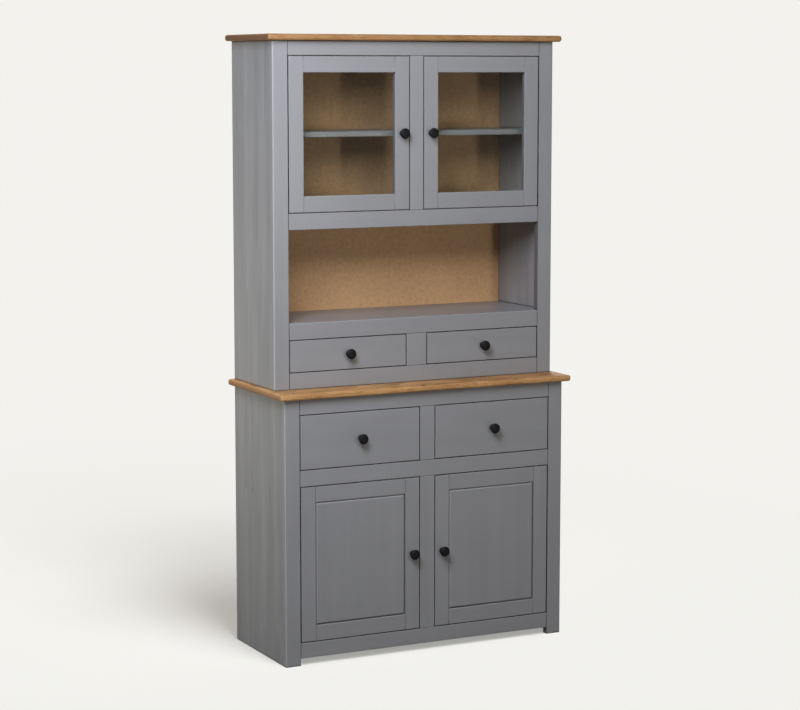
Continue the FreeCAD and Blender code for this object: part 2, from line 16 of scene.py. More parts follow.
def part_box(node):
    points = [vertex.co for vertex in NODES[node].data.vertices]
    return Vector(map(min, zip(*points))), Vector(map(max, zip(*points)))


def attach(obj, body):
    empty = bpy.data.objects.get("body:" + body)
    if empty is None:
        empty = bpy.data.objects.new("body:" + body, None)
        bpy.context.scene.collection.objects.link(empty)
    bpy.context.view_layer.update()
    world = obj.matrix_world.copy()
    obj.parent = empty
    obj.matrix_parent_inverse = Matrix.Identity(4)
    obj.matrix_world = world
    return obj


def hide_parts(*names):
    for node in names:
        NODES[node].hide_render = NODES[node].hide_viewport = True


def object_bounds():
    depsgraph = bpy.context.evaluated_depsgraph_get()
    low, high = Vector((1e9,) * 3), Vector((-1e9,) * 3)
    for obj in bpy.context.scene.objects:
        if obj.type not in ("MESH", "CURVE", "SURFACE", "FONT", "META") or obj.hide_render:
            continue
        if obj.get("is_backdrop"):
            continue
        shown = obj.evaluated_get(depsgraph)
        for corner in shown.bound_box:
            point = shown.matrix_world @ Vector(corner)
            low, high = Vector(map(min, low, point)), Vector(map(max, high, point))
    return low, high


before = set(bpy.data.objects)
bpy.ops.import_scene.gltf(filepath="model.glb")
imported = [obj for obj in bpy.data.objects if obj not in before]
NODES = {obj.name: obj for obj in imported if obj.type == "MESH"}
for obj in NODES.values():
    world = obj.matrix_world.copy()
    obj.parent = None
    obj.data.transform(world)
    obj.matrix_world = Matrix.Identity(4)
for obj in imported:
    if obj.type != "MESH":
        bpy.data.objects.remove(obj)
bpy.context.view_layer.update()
MM = 0.001

# %% [markdown]
# ## Small helpers for shader trees
# A shader tree is boxes and wires. Writing every wire by hand hides the idea of a finish, so a few helpers do the
# wiring. They place a node, do one step of arithmetic, make smooth steps, blends and noise, add up patterns, and
# open or use a node group.

# %% Shader helpers


def put(tree, kind, inputs=None, **options):
    """Place a node, set its options, and fill or wire its inputs."""
    node = tree.nodes.new(kind)
    for option, value in options.items():
        setattr(node, option, value)
    for socket, value in (inputs or {}).items():
        if isinstance(value, bpy.types.NodeSocket):
            tree.links.new(value, node.inputs[socket])
        else:
            node.inputs[socket].default_value = value
    return node


def calc(tree, operation, *values):
    """One arithmetic step on numbers or sockets."""
    return put(tree, "ShaderNodeMath", dict(enumerate(values)), operation=operation).outputs[0]


def add_up(tree, start, patterns, weights):
    """A start value plus each named pattern times its weight."""
    for label, weight in weights.items():
        start = calc(tree, "MULTIPLY_ADD", patterns[label], weight, start)
    return start


def ramp(tree, value, start, end, low=0.0, high=1.0):
    """A smooth step from low to high while the value goes from start to end."""
    return put(tree, "ShaderNodeMapRange", {0: value, 1: start, 2: end, 3: low, 4: high},
               interpolation_type="SMOOTHSTEP").outputs[0]


def blend(tree, share, first, second):
    """Two colours mixed by a share."""
    return put(tree, "ShaderNodeMix", {0: share, 6: first, 7: second}, data_type="RGBA").outputs[2]


def noise(tree, position, scale, detail=2.0):
    """Soft noise with a scale for each axis, so that it can be drawn out along the grain."""
    drawn_out = put(tree, "ShaderNodeVectorMath", {0: position, 1: scale}, operation="MULTIPLY").outputs[0]
    return put(tree, "ShaderNodeTexNoise", {"Vector": drawn_out, "Scale": 1.0, "Detail": detail}).outputs["Fac"]


def open_group(name, inputs, outputs):
    """Start a node group. An input has a number, or None for a vector, and an output has its kind."""
    tree = bpy.data.node_groups.new(name, "ShaderNodeTree")
    for label, value in inputs.items():
        if value is None:
            tree.interface.new_socket(label, in_out="INPUT", socket_type="NodeSocketVector")
        else:
            tree.interface.new_socket(label, in_out="INPUT", socket_type="NodeSocketFloat").default_value = value
    for label, kind in outputs.items():
        tree.interface.new_socket(label, in_out="OUTPUT", socket_type="NodeSocket" + kind)
    return tree, put(tree, "NodeGroupInput").outputs


def use_group(tree, group, **inputs):
    """Place a group in a material with the material's own values."""
    values = {label.replace("_", " "): value for label, value in inputs.items()}
    return put(tree, "ShaderNodeGroup", values, node_tree=group).outputs


# %% [markdown]
# ## What pine looks like
# Every board here is pine, painted or waxed, so one node group draws pine for all of them. It works in the
# board's own directions: X runs along the grain and Y across the board. Growth rings are drawn as real tubes
# about a pith that lies under the board, so a flat face shows long flames and a sawn end shows arcs. Wide
# boards are glued from staves, and a white-noise number for each stave shifts its rings and its tone. Knots sit
# in the cells of a Voronoi pattern, and their sizes are shares of such a cell.

# %% The grain group
STAVE_SHIFT = 31.7
KNOT_CELLS = 6.0
KNOT_RADIUS = 0.025
KNOT_SPREAD = 0.05
KNOT_CORE = 0.6
SWERVE_REACH = 0.22
SWERVE = 12 * MM
PITH_DEPTH = 20 * MM
PITH_SPREAD = 50 * MM
WANDER = 50 * MM
WANDER_SCALE = (1.3, 7.0, 7.0)
RING_SHARPNESS = 2.2
STREAK_ALONG = 1.5
FIBRE_SCALE = (14.0, 900.0, 900.0)


def grain_group():
    tree, given = open_group(
        "Pine grain",
        {"Position": None, "Stave Width": 0.1, "Ring Width": 0.004, "Streak Width": 0.024, "Knot Share": 0.3},
        dict.fromkeys(("Rings", "Streaks", "Fibres", "Stave", "Knots"), "Float"))
    along, across, depth = put(tree, "ShaderNodeSeparateXYZ", {0: given["Position"]}).outputs
    width = given["Stave Width"]
    number = calc(tree, "FLOOR", calc(tree, "DIVIDE", across, width))
    stave = put(tree, "ShaderNodeTexWhiteNoise", {"W": number}, noise_dimensions="1D").outputs["Value"]
    middle = calc(tree, "MULTIPLY", calc(tree, "ADD", number, 0.5), width)
    shifted = calc(tree, "MULTIPLY_ADD", stave, STAVE_SHIFT, along)
    place = put(tree, "ShaderNodeCombineXYZ", {0: shifted, 1: across, 2: depth}).outputs[0]

    cells = put(tree, "ShaderNodeTexVoronoi", {"Vector": place, "Scale": KNOT_CELLS}, voronoi_dimensions="2D").outputs
    chance = put(tree, "ShaderNodeSeparateColor", {0: cells["Color"]}).outputs
    present = calc(tree, "LESS_THAN", chance[0], given["Knot Share"])
    radius = calc(tree, "MULTIPLY_ADD", chance[1], KNOT_SPREAD, KNOT_RADIUS)
    core = calc(tree, "MULTIPLY", radius, KNOT_CORE)
    knot = calc(tree, "SUBTRACT", 1.0, ramp(tree, cells["Distance"], core, radius))
    swerve = calc(tree, "MULTIPLY", ramp(tree, cells["Distance"], SWERVE_REACH, 0.0), present)

    wander = noise(tree, place, WANDER_SCALE, detail=1.0)
    pith = calc(tree, "ADD", depth, calc(tree, "MULTIPLY_ADD", stave, PITH_SPREAD, PITH_DEPTH))
    pith = calc(tree, "MULTIPLY_ADD", wander, WANDER, pith)
    aside = calc(tree, "SUBTRACT", across, middle)
    tube = calc(tree, "SQRT", calc(tree, "MULTIPLY_ADD", aside, aside, calc(tree, "MULTIPLY", pith, pith)))
    tube = calc(tree, "MULTIPLY_ADD", swerve, SWERVE, tube)
    year = calc(tree, "FRACT", calc(tree, "DIVIDE", tube, given["Ring Width"]))
    finer = calc(tree, "DIVIDE", 1.0, given["Streak Width"])
    streak_scale = put(tree, "ShaderNodeCombineXYZ", {0: STREAK_ALONG, 1: finer, 2: finer}).outputs[0]
    put(tree, "NodeGroupOutput", {
        "Rings": calc(tree, "POWER", year, RING_SHARPNESS), "Streaks": noise(tree, place, streak_scale),
        "Fibres": noise(tree, place, FIBRE_SCALE), "Stave": stave, "Knots": calc(tree, "MULTIPLY", knot, present)})
    return tree


GRAIN = grain_group()
print("grain group:", len(GRAIN.nodes), "nodes")

# %% [markdown]
# ## Small unevenness
# No real finish is equally glossy all over: a brush, a cloth and a hand leave soft clouds. A second group gives
# such clouds together with a much finer speckle, and each finish mixes in as much of them as it shows.

# %% The unevenness group
CLOUD_DETAIL = 3.0
SPECK_DETAIL = 2.0


def clouds_group():
    tree, given = open_group("Clouds and specks", {"Position": None, "Cloud Size": 0.05, "Speck Size": 0.002},
                             {"Clouds": "Float", "Specks": "Float"})
    patterns = {}
    for label, size, detail in (("Clouds", "Cloud Size", CLOUD_DETAIL), ("Specks", "Speck Size", SPECK_DETAIL)):
        scale = calc(tree, "DIVIDE", 1.0, given[size])
        patterns[label] = put(tree, "ShaderNodeTexNoise", {"Vector": given["Position"], "Scale": scale,
                                                           "Detail": detail}).outputs["Fac"]
    put(tree, "NodeGroupOutput", patterns)
    return tree


CLOUDS = clouds_group()

# %% [markdown]
# ## Edges, crevices and joints
# Sanding rounds every edge a little, so edges catch the lamps through their rounded normal. On top of that the
# edges get a paler colour, a painted highlight, and corners and gaps get a near-black colour, painted shade. The
# Bevel node gives the normal that a rounded edge would have: on square joinery it lies along an axis on every flat
# face, so whatever leans between the axes is an edge. The painted highlight is stronger on upper edges than on
# lower ones, as light from above falls. Ambient Occlusion round that same normal finds the crevices for the painted
# shade, with the edges that turn into a gap. Two more masks go by place: one draws the hairline where the end of a
# rail meets a stile, and one follows the outline of a door, where the painted shade in the gaps is made full.

# %% The edges group
# Radius of the rounded normal, and how the painted highlight on edges is shaped
EDGE_RADIUS = 2.2 * MM
EDGE_FLAT = 0.01
EDGE_ROUND = 0.16
EDGE_TURN = 0.3
EDGE_LOWER = 0.1
BEVEL_SAMPLES = 4
# Reach, thresholds and samples of the painted shade that Ambient Occlusion puts in crevices
CREVICE_REACH = 6 * MM
CREVICE_OPEN = 0.96
CREVICE_SHUT = 0.42
CREVICE_SAMPLES = 6


def edges_group():
    tree, given = open_group("Edges and crevices", {"Edge Radius": EDGE_RADIUS, "Reach": CREVICE_REACH},
                             {"Edge": "Float", "Crevice": "Float", "Rounded": "Vector"})
    rounded = put(tree, "ShaderNodeBevel", {"Radius": given["Edge Radius"]}, samples=BEVEL_SAMPLES).outputs[0]
    own = put(tree, "ShaderNodeVectorTransform", {0: rounded}, vector_type="NORMAL", convert_from="WORLD",
              convert_to="OBJECT").outputs[0]
    leaning = put(tree, "ShaderNodeVectorMath", {0: own}, operation="ABSOLUTE").outputs[0]
    x, y, z = put(tree, "ShaderNodeSeparateXYZ", {0: leaning}).outputs
    straight = calc(tree, "MAXIMUM", x, calc(tree, "MAXIMUM", y, z))
    edge = ramp(tree, calc(tree, "SUBTRACT", 1.0, straight), EDGE_FLAT, EDGE_ROUND)
    # Painted highlight: the edge mask is kept whole on upper edges and cut down on lower ones, as light from above
    # falls.
    height = put(tree, "ShaderNodeSeparateXYZ", {0: own}).outputs["Z"]
    upper_highlight = ramp(tree, height, -EDGE_TURN, EDGE_TURN, EDGE_LOWER, 1.0)
    # Painted shade: Ambient Occlusion round the rounded normal finds crevices and the edges that turn into a gap.
    openness = put(tree, "ShaderNodeAmbientOcclusion", {"Distance": given["Reach"], "Normal": rounded},
                   samples=CREVICE_SAMPLES).outputs["AO"]
    put(tree, "NodeGroupOutput", {
        "Edge": calc(tree, "MULTIPLY", edge, upper_highlight), "Crevice": ramp(tree, openness, CREVICE_OPEN, CREVICE_SHUT),
        "Rounded": rounded})
    return tree


EDGES = edges_group()
print("edges group:", len(EDGES.nodes), "nodes")

# %% Masks by place
JOINT_WIDTH = 2.2 * MM
OUTLINE_WIDTH = 16 * MM


def across_and_up(tree, position):
    """The distance to either side of the middle of the dresser, and the height."""
    across, _, up = put(tree, "ShaderNodeSeparateXYZ", {0: position}).outputs
    return calc(tree, "ABSOLUTE", across), up


def apart(tree, value, place):
    """How far a coordinate is from a place."""
    return calc(tree, "ABSOLUTE", calc(tree, "SUBTRACT", value, place))


def joint_line(tree, position, place):
    """1 on the upright hairlines that are at a distance from the middle of the dresser."""
    across, _ = across_and_up(tree, position)
    return ramp(tree, apart(tree, across, place), JOINT_WIDTH, 0.0)


# Used to make the painted shade full in the gaps round a door.
def outline_mask(tree, position, low, high):
    """1 along the outline of a box and of its mirror image, both seen from the front."""
    across, up = across_and_up(tree, position)
    nearest = OUTLINE_WIDTH
    for value, edge in ((across, low.x), (across, high.x), (up, low.z), (up, high.z)):
        nearest = calc(tree, "MINIMUM", nearest, apart(tree, value, edge))
    return ramp(tree, nearest, OUTLINE_WIDTH, OUTLINE_WIDTH / 2)


# %% [markdown]
# ## Turning the grain with the board
# A rail runs left to right, a stile runs up and down, and a drawer side runs front to back. A Mapping node turns
# the pattern so that its X axis follows the piece. A door frame or a drawer box holds pieces that run two ways:
# there a mask on one coordinate picks the turn. A single board is a stave far wider than the board, moved so that
# no stave joint crosses it.

# %% Lay of the grain
QUARTER = math.pi / 2
LAYS = {
    "level": (0, 0, 0),
    "rail": (-QUARTER, 0, 0),
    "side": (0, QUARTER, 0),
    "stile": (-QUARTER, 0, -QUARTER),
    "runner": (QUARTER, QUARTER, 0),
}
SINGLE_BOARD = 20.0


def whole_position(tree):
    """Position in the frame of the whole dresser, before any joint moves."""
    return put(tree, "ShaderNodeTexCoord").outputs["Object"]


def laid(tree, position, lay):
    return put(tree, "ShaderNodeMapping", {"Vector": position, "Location": (0, SINGLE_BOARD / 4, 0),
                                           "Rotation": LAYS[lay]}).outputs[0]


def board_position(tree, lay, band=None):
    """Position in the board's own directions. A band gives a second lay between two values of a coordinate."""
    position = whole_position(tree)
    turned = laid(tree, position, lay)
    if band is None:
        return turned
    inner_lay, axis, low, high = band
    value = put(tree, "ShaderNodeSeparateXYZ", {0: position}).outputs[axis]
    if axis == "X":
        value = calc(tree, "ABSOLUTE", value)
    inside = calc(tree, "COMPARE", value, (low + high) / 2, (high - low) / 2)
    return put(tree, "ShaderNodeMix", {0: inside, 4: turned, 5: laid(tree, position, inner_lay)},
               data_type="VECTOR").outputs[1]


# %% [markdown]
# ## A material to start from
# Every finish ends in one Principled shader. The constants of a finish go straight onto its sockets, and what
# changes over the surface is wired in. One table holds how rough each kind of surface is and how deep its relief.

# %% Starting a finish
# kind of surface: (least roughness, greatest roughness, strength of the relief, height of the relief)
SURFACES = {
    "paint": (0.28, 0.42, 0.35, 0.4 * MM),
    "waxed pine": (0.48, 0.68, 0.4, 0.5 * MM),
    "raw pine": (0.6, 0.75, 0.5, 0.5 * MM),
    "hardboard": (0.5, 0.7, 0.3, 0.4 * MM),
    "lacquer": (0.44, 0.64, 0.12, 0.2 * MM),
    "zinc steel": (0.25, 0.5, 0.15, 0.1 * MM),
    "browned steel": (0.5, 0.75, 0.15, 0.1 * MM),
    "plastic": (0.4, 0.55, 0.25, 0.2 * MM),
}


def finish(name, **constants):
    """A new material with its Principled shader."""
    material = bpy.data.materials.new(name)
    material.use_nodes = True
    shader = material.node_tree.nodes["Principled BSDF"]
    for socket, value in constants.items():
        shader.inputs[socket.replace("_", " ")].default_value = value
    return material, material.node_tree, shader


def coat(tree, shader, kind, colour, uneven, relief, **under):
    """Wire a colour, and the roughness and relief of a kind of surface, on the plain normal or on another one."""
    smooth, rough, strength, height = SURFACES[kind]
    normal = put(tree, "ShaderNodeBump", {"Height": relief, "Strength": strength, "Distance": height, **under})
    tree.links.new(colour, shader.inputs["Base Color"])
    tree.links.new(calc(tree, "MULTIPLY_ADD", uneven, rough - smooth, smooth), shader.inputs["Roughness"])
    tree.links.new(normal.outputs[0], shader.inputs["Normal"])


# %% [markdown]
# ## Grey paint on pine
# The carcass is sprayed with a satin grey. Paint hides the colour of the wood but not its surface: soft streaks,
# stave joints, a few knots and the fine fibres still show when light falls along the boards. So the grain group
# moves the tone only by a few percent about its mean, and the rest of it goes into the relief.

# %% Grey paint
PAINT_DARK = (0.215, 0.217, 0.221, 1)
PAINT_LIGHT = (0.370, 0.373, 0.380, 1)
# paler colour of the painted highlight on edges
PAINT_EDGE_HIGHLIGHT = (0.56, 0.565, 0.575, 1)
# near-black for the painted shade in crevices, and for the hairline joints
PAINT_SHADE_AND_JOINT = (0.018, 0.018, 0.019, 1)
PAINT_TONE = 0.4
PAINT_CLOUDS = {"Clouds": 0.2}
PAINT_FIGURE = {"Streaks": 0.55, "Stave": 0.16, "Rings": 0.08, "Knots": -0.3}
PAINT_FIGURE_MEAN = 0.395
PAINT_RELIEF = {"Rings": 0.5}
EDGE_HIGHLIGHT_SHARE = 0.55


def grey_paint(name, lay, band=None, joints=(), stave_width=SINGLE_BOARD, figure=1.0, knots=0.0, shade=1.0,
               outline=None):
    """Paint over boards of one lay. Figure is how much of the wood shows, and shade is how much painted shade the
    crevices get, made full along the outline of a box. Joints are pairs of a place and a strength."""
    material, tree, shader = finish(name, IOR=1.52)
    whole, position = whole_position(tree), board_position(tree, lay, band)
    grain = use_group(tree, GRAIN, Position=position, Stave_Width=stave_width, Ring_Width=6 * MM,
                      Streak_Width=40 * MM, Knot_Share=knots)
    uneven = use_group(tree, CLOUDS, Position=position, Cloud_Size=160 * MM)
    edges = use_group(tree, EDGES)
    tone = add_up(tree, PAINT_TONE - PAINT_FIGURE_MEAN * figure, uneven, PAINT_CLOUDS)
    tone = add_up(tree, tone, grain, {label: weight * figure for label, weight in PAINT_FIGURE.items()})
    colour = blend(tree, tone, PAINT_DARK, PAINT_LIGHT)
    # Painted highlight: a paler colour on the edges, stronger on upper ones.
    colour = blend(tree, calc(tree, "MULTIPLY", edges["Edge"], EDGE_HIGHLIGHT_SHARE), colour, PAINT_EDGE_HIGHLIGHT)
    # Painted shade: crevices darken by the shade, made full along the outline of a door.
    if outline:
        shade = calc(tree, "MULTIPLY_ADD", outline_mask(tree, whole, *outline), 1.0 - shade, shade)
    colour = blend(tree, calc(tree, "MULTIPLY", edges["Crevice"], shade), colour, PAINT_SHADE_AND_JOINT)
    for place, strength in joints:
        line = joint_line(tree, whole, place)
        colour = blend(tree, calc(tree, "MULTIPLY", line, strength), colour, PAINT_SHADE_AND_JOINT)
    relief = add_up(tree, grain["Fibres"], grain, PAINT_RELIEF)
    coat(tree, shader, "paint", colour, uneven["Clouds"], relief, Normal=edges["Rounded"])
    return material


# %% [markdown]
# ## Waxed pine
# The countertop and the top board are clear-waxed, so here the wood itself is the colour: pale early wood, orange
# late wood, dark knots, and staves that differ a little. The sawn ends drink more wax and turn red-brown, which
# the object's own normal picks out; their colour is also painted lighter on the countertop and darker on the top
# board, for how each end is lit.

# %% Waxed pine
PINE_EARLY = (0.58, 0.325, 0.13, 1)
PINE_LATE = (0.31, 0.148, 0.048, 1)
PINE_KNOT = (0.085, 0.032, 0.012, 1)
PINE_FLECK = (0.19, 0.083, 0.03, 1)
WAXED_START = -0.97
WAXED_FIGURE = {"Rings": 0.62, "Streaks": 0.5, "Stave": 0.25}
WAXED_CLOUDS = {"Clouds": 1.0, "Specks": 0.5}
WAXED_KNOTS = 0.9
WAXED_RELIEF = {"Rings": 0.6}
FLECK_SCALE = (26.0, 240.0, 240.0)
FLECK_FROM, FLECK_TO, FLECK_SHARE = 0.5, 0.72, 0.55
END_FROM, END_TO, END_SHARE = 0.55, 0.9, 0.85
COUNTER_TONE = 1.12
# End colours hold painted light and shade: lighter for the lit ends of the countertop, darker for the top board's.
COUNTER_LIT_END = (0.30, 0.165, 0.085, 1)
TOP_TONE = 0.84
TOP_SHADED_END = (0.145, 0.075, 0.04, 1)
# places of small knots, with their radius in millimetres
PIN_KNOTS = [(-0.425, -0.165, 0.791, 6), (-0.405, -0.128, 0.791, 5), (-0.395, -0.14, 0.791, 3),
             (-0.29, -0.115, 0.791, 4), (0.39, -0.15, 0.791, 5), (0.2, -0.18, 1.79, 8), (0.235, -0.18, 1.788, 7)]
PIN_KNOT_SHARE = 0.85


def waxed_pine(name, tone, end):
    """A tone lightens or darkens the whole board. Its sawn ends have a colour of their own: end grain, painted
    lighter on the countertop and darker on the top board for how each end is lit.
    """
    material, tree, shader = finish(name, IOR=1.42)
    whole, position = whole_position(tree), board_position(tree, "level")
    grain = use_group(tree, GRAIN, Position=position, Stave_Width=62 * MM, Ring_Width=4.5 * MM, Knot_Share=0.45)
    uneven = use_group(tree, CLOUDS, Position=position, Cloud_Size=90 * MM, Speck_Size=6 * MM)
    late = add_up(tree, add_up(tree, WAXED_START, grain, WAXED_FIGURE), uneven, WAXED_CLOUDS)
    early_colour, late_colour = ((*(part * tone for part in pine[:3]), 1) for pine in (PINE_EARLY, PINE_LATE))
    colour = blend(tree, ramp(tree, late, 0.0, 1.0), early_colour, late_colour)
    flecks = ramp(tree, noise(tree, position, FLECK_SCALE), FLECK_FROM, FLECK_TO, 0.0, FLECK_SHARE)
    colour = blend(tree, flecks, colour, PINE_FLECK)
    colour = blend(tree, calc(tree, "MULTIPLY", grain["Knots"], WAXED_KNOTS), colour, PINE_KNOT)
    for x, y, z, radius in PIN_KNOTS:
        away = put(tree, "ShaderNodeVectorMath", {0: whole, 1: (x, y, z)}, operation="DISTANCE").outputs["Value"]
        spot = ramp(tree, away, radius * MM, 0.5 * radius * MM, 0.0, PIN_KNOT_SHARE)
        colour = blend(tree, spot, colour, PINE_KNOT)
    facing = put(tree, "ShaderNodeTexCoord").outputs["Normal"]
    sideways = calc(tree, "ABSOLUTE", put(tree, "ShaderNodeSeparateXYZ", {0: facing}).outputs["X"])
    # Sawn ends: darker end grain, with painted light and shade in each board's own end colour.
    colour = blend(tree, ramp(tree, sideways, END_FROM, END_TO, 0.0, END_SHARE), colour, end)
    relief = add_up(tree, grain["Fibres"], grain, WAXED_RELIEF)
    coat(tree, shader, "waxed pine", colour, uneven["Clouds"], relief)
    return material


# %% [markdown]
# ## Raw pine and hardboard
# The drawer boxes, their guides and the floors under them are left raw. The backs and drawer bottoms are brown
# hardboard: pressed fibres with no grain direction, so it takes only clouds and specks in two sizes.

# %% Raw pine and hardboard
RAW_EARLY = (0.66, 0.47, 0.27, 1)
RAW_LATE = (0.47, 0.28, 0.125, 1)
RAW_FIGURE = {"Streaks": 0.8, "Rings": 0.5}
RAW_FROM, RAW_TO = 0.15, 1.1
RAW_KNOTS = 0.8
BOARD_PALE = (0.80, 0.49, 0.255, 1)
BOARD_DARK = (0.52, 0.31, 0.15, 1)
BOARD_FINE = {"Specks": 0.6, "Clouds": 0.5}
BOARD_BROAD = {"Clouds": 0.4}
BOARD_FROM, BOARD_TO = 0.42, 1.1


def raw_pine(name, lay, band=None):
    material, tree, shader = finish(name, IOR=1.45)
    grain = use_group(tree, GRAIN, Position=board_position(tree, lay, band), Stave_Width=SINGLE_BOARD,
                      Ring_Width=5 * MM)
    late = ramp(tree, add_up(tree, 0.0, grain, RAW_FIGURE), RAW_FROM, RAW_TO)
    colour = blend(tree, late, RAW_EARLY, RAW_LATE)
    colour = blend(tree, calc(tree, "MULTIPLY", grain["Knots"], RAW_KNOTS), colour, PINE_KNOT)
    coat(tree, shader, "raw pine", colour, grain["Fibres"], grain["Fibres"])
    return material


def hardboard():
    material, tree, shader = finish("hardboard", IOR=1.45)
    position = whole_position(tree)
    fine = use_group(tree, CLOUDS, Position=position, Cloud_Size=12 * MM, Speck_Size=3.5 * MM)
    broad = use_group(tree, CLOUDS, Position=position, Cloud_Size=300 * MM, Speck_Size=1.2 * MM)
    fibre = add_up(tree, add_up(tree, 0.0, fine, BOARD_FINE), broad, BOARD_BROAD)
    colour = blend(tree, ramp(tree, fibre, BOARD_FROM, BOARD_TO), BOARD_DARK, BOARD_PALE)
    relief = calc(tree, "ADD", fine["Specks"], broad["Specks"])
    coat(tree, shader, "hardboard", colour, fine["Clouds"], relief)
    return material


# %% [markdown]
# ## Glass, knobs, steel and plastic
# The panes are plain float glass. Lamps should still light the cupboard behind them, so the rays that carry light
# see a tinted Transparent shader instead and pass straight on. The knobs have a satin black lacquer. Nails and
# screws are zinc-plated, with the faint spangle of that plating. The pivot pins are browned, so that they don't
# flash in the gaps, and the catches are moulded brown plastic.

# %% Glass, knobs, steel and plastic
GLASS_SEEN = (0.908, 0.927, 0.905, 1)
GLASS_PASSED = (0.82, 0.832, 0.81, 1)
SMEAR_FROM, SMEAR_TO, SMEAR_ROUGHNESS = 0.45, 0.8, 0.025
LACQUER_DARK = (0.004, 0.004, 0.0045, 1)
LACQUER_PALE = (0.009, 0.009, 0.0095, 1)
ZINC_DARK = (0.50, 0.51, 0.51, 1)
ZINC_PALE = (0.68, 0.68, 0.66, 1)
BROWNED_DARK = (0.10, 0.095, 0.09, 1)
BROWNED_PALE = (0.15, 0.14, 0.13, 1)
SPANGLES = 700.0
PLASTIC_DARK = (0.075, 0.04, 0.022, 1)
PLASTIC_PALE = (0.12, 0.066, 0.038, 1)


def pane_glass():
    material, tree, shader = finish("pane glass", IOR=1.45, Transmission_Weight=1.0, Base_Color=GLASS_SEEN)
    uneven = use_group(tree, CLOUDS, Position=whole_position(tree), Cloud_Size=120 * MM)
    smear = ramp(tree, uneven["Clouds"], SMEAR_FROM, SMEAR_TO, 0.0, SMEAR_ROUGHNESS)
    tree.links.new(smear, shader.inputs["Roughness"])
    clear = put(tree, "ShaderNodeBsdfTransparent", {"Color": GLASS_PASSED})
    path = put(tree, "ShaderNodeLightPath").outputs
    lighting = calc(tree, "MAXIMUM", path["Is Shadow Ray"], path["Is Diffuse Ray"])
    either = put(tree, "ShaderNodeMixShader", {0: lighting, 1: shader.outputs[0], 2: clear.outputs[0]})
    tree.links.new(either.outputs[0], tree.nodes["Material Output"].inputs["Surface"])
    return material


def black_lacquer():
    material, tree, shader = finish("black lacquer", IOR=1.3)
    uneven = use_group(tree, CLOUDS, Position=whole_position(tree), Cloud_Size=12 * MM, Speck_Size=0.9 * MM)
    colour = blend(tree, uneven["Clouds"], LACQUER_DARK, LACQUER_PALE)
    coat(tree, shader, "lacquer", colour, uneven["Clouds"], uneven["Specks"])
    return material


def plated_steel(kind, dark, pale):
    material, tree, shader = finish(kind, Metallic=1.0)
    position = whole_position(tree)
    spangle = put(tree, "ShaderNodeTexVoronoi", {"Vector": position, "Scale": SPANGLES}).outputs["Color"]
    uneven = use_group(tree, CLOUDS, Position=position, Cloud_Size=10 * MM, Speck_Size=0.6 * MM)
    coat(tree, shader, kind, blend(tree, spangle, dark, pale), uneven["Clouds"], uneven["Specks"])
    return material


def catch_plastic():
    material, tree, shader = finish("catch plastic", IOR=1.5)
    uneven = use_group(tree, CLOUDS, Position=whole_position(tree), Cloud_Size=20 * MM, Speck_Size=0.8 * MM)
    colour = blend(tree, uneven["Clouds"], PLASTIC_DARK, PLASTIC_PALE)
    coat(tree, shader, "plastic", colour, uneven["Specks"], uneven["Specks"])
    return material


GLASS = pane_glass()
LACQUER = black_lacquer()
ZINC = plated_steel("zinc steel", ZINC_DARK, ZINC_PALE)
BROWNED = plated_steel("browned steel", BROWNED_DARK, BROWNED_PALE)
PLASTIC = catch_plastic()
WAXED_COUNTER = waxed_pine("waxed pine of the countertop", COUNTER_TONE, COUNTER_LIT_END)
WAXED_TOP = waxed_pine("waxed pine of the top board", TOP_TONE, TOP_SHADED_END)
BOARD = hardboard()

# %% [markdown]
# ## Dressing the joinery
# Each node gets the finish of the first pattern that its name fits. Sides and wide panels are glued from staves,
# the rest are single boards. The frames of the doors and the drawer boxes take their two directions from their
# own boxes.

# %% Dress the joinery
DOOR_MEMBER = 46 * MM
DOOR_JOINT = 0.25
DOOR_SHADE = 0.25
FRAME_JOINT = 0.6
BOX_WALL = 12 * MM
SIDE_STAVE = 118 * MM
PANEL_STAVE = 94 * MM


def door_paint(name, door):
    """Stiles run up, and the rails between their inner edges run across."""
    low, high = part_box(door)
    ends = low.x + DOOR_MEMBER, high.x - DOOR_MEMBER
    return grey_paint(name, "stile", ("rail", "X", *ends), [(end, DOOR_JOINT) for end in ends], figure=0.5,
                      shade=DOOR_SHADE, outline=(low, high))


def box_pine(name, box):
    """The sides of a drawer run back, and its back board runs across."""
    _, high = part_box(box)
    return raw_pine(name, "runner", ("rail", "Y", high.y - BOX_WALL, high.y))


frame_joints = [(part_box("base_stile_right")[0].x, FRAME_JOINT)]
PAINT_SIDE = grey_paint("grey paint on sides", "side", stave_width=SIDE_STAVE, figure=1.75, knots=0.1)
PAINT_PANEL = grey_paint("grey paint on panels", "stile", stave_width=PANEL_STAVE, figure=0.35, shade=DOOR_SHADE)
PAINT_STILE = grey_paint("grey paint on stiles", "stile", joints=frame_joints, figure=0.5)
PAINT_RAIL = grey_paint("grey paint on rails", "rail", joints=frame_joints, figure=0.5)
PAINT_LEVEL = grey_paint("grey paint on shelves", "level", figure=0.6)
FINISHES = [
    ("base_door.*frame", door_paint("grey paint on base doors", "base_door_right_frame")),
    ("hutch_door.*frame", door_paint("grey paint on glazed doors", "hutch_door_right_frame")),
    ("base_drawer.*box", box_pine("raw pine of base drawers", "base_drawer_left_box")),
    ("hutch_drawer.*box", box_pine("raw pine of small drawers", "hutch_drawer_left_box")),
    ("glass", GLASS),
    ("knob", LACQUER),
    ("pins", BROWNED),
    ("catches", PLASTIC),
    ("countertop", WAXED_COUNTER),
    ("top_board", WAXED_TOP),
    ("back|bottom$", BOARD),
    ("guides", raw_pine("raw pine of guides", "runner")),
    ("drawer_floor", raw_pine("raw pine of floors", "level")),
    ("side", PAINT_SIDE),
    ("panel", PAINT_PANEL),
    ("stile|muntins", PAINT_STILE),
    ("rail|front", PAINT_RAIL),
    ("floor|shelf", PAINT_LEVEL),
]


